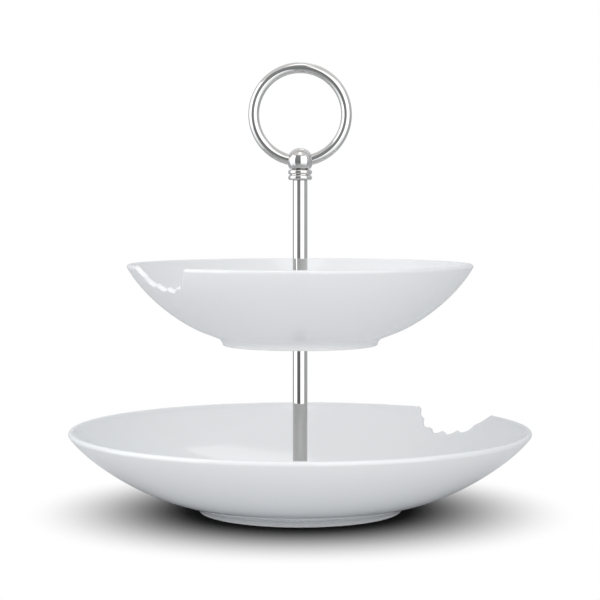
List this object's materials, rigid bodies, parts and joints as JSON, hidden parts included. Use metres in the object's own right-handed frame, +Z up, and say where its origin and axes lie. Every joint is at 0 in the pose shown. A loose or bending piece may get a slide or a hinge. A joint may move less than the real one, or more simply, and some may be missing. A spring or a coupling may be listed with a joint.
{
  "type": "tiered cake stand",
  "caption": "Tiered cake stand: bowl-shaped porcelain dishes with bite-shaped notches in their rims, clamped on a chromed stem that screws together, with a ring handle on top.",
  "frame": {"origin": "centre of the plane that the lower dish's foot ring stands on", "axes": "+Z up along the stem, +X to the right and +Y away from the viewer, with the ring facing -Y"},
  "size_m": [0.24, 0.24, 0.2324],
  "materials": {
    "porcelain": "glossy white glaze",
    "chrome": "polished plating",
    "rubber": "matt translucent white",
    "brass": "turned",
    "steel": "zinc plated"
  },
  "bodies": {
    "lower_dish": {"lower_dish": "porcelain", "bottom_gasket": "rubber", "lower_floor_gasket": "rubber"},
    "lower_stem": {"lower_rod": "chrome", "lower_rod_foot_insert": "brass", "lower_rod_head_insert": "brass", "bottom_screw": "steel", "bottom_washer": "chrome", "lower_floor_washer": "chrome", "upper_under_washer": "chrome"},
    "upper_dish": {"upper_dish": "porcelain", "upper_under_gasket": "rubber", "upper_floor_gasket": "rubber", "upper_floor_washer": "chrome"},
    "joining_stud": {"joining_stud": "steel"},
    "upper_stem": {"upper_rod": "chrome", "upper_rod_foot_insert": "brass", "upper_rod_head_insert": "brass"},
    "handle_stud": {"handle_stud": "steel"},
    "handle": {"handle_ring": "chrome", "handle_ball": "chrome", "handle_collar": "chrome"}
  },
  "joints": [
    {"name": "stem_turn", "type": "hinge", "parent": "lower_dish", "child": "lower_stem", "pos_m": [0, 0, 0], "axis": [0, 0, 1], "continuous": true},
    {"name": "upper_dish_turn", "type": "hinge", "parent": "lower_stem", "child": "upper_dish", "pos_m": [0, 0, 0], "axis": [0, 0, 1], "continuous": true},
    {"name": "upper_rod_lift", "type": "slide", "parent": "lower_stem", "child": "joining_stud", "axis": [0, 0, 1], "range_m": [0, 0.0084]},
    {"name": "upper_rod_unscrew", "type": "hinge", "parent": "joining_stud", "child": "upper_stem", "pos_m": [0, 0, 0], "axis": [0, 0, 1], "range_deg": [0, 4321]},
    {"name": "handle_lift", "type": "slide", "parent": "upper_stem", "child": "handle_stud", "axis": [0, 0, 1], "range_m": [0, 0.0084]},
    {"name": "handle_unscrew", "type": "hinge", "parent": "handle_stud", "child": "handle", "pos_m": [0, 0, 0], "axis": [0, 0, 1], "range_deg": [0, 4321]}
  ],
  "couplings": [
    {"joint": "upper_rod_unscrew", "follows": "upper_rod_lift", "rad_per_m": 8976},
    {"joint": "handle_unscrew", "follows": "handle_lift", "rad_per_m": 8976}
  ]
}
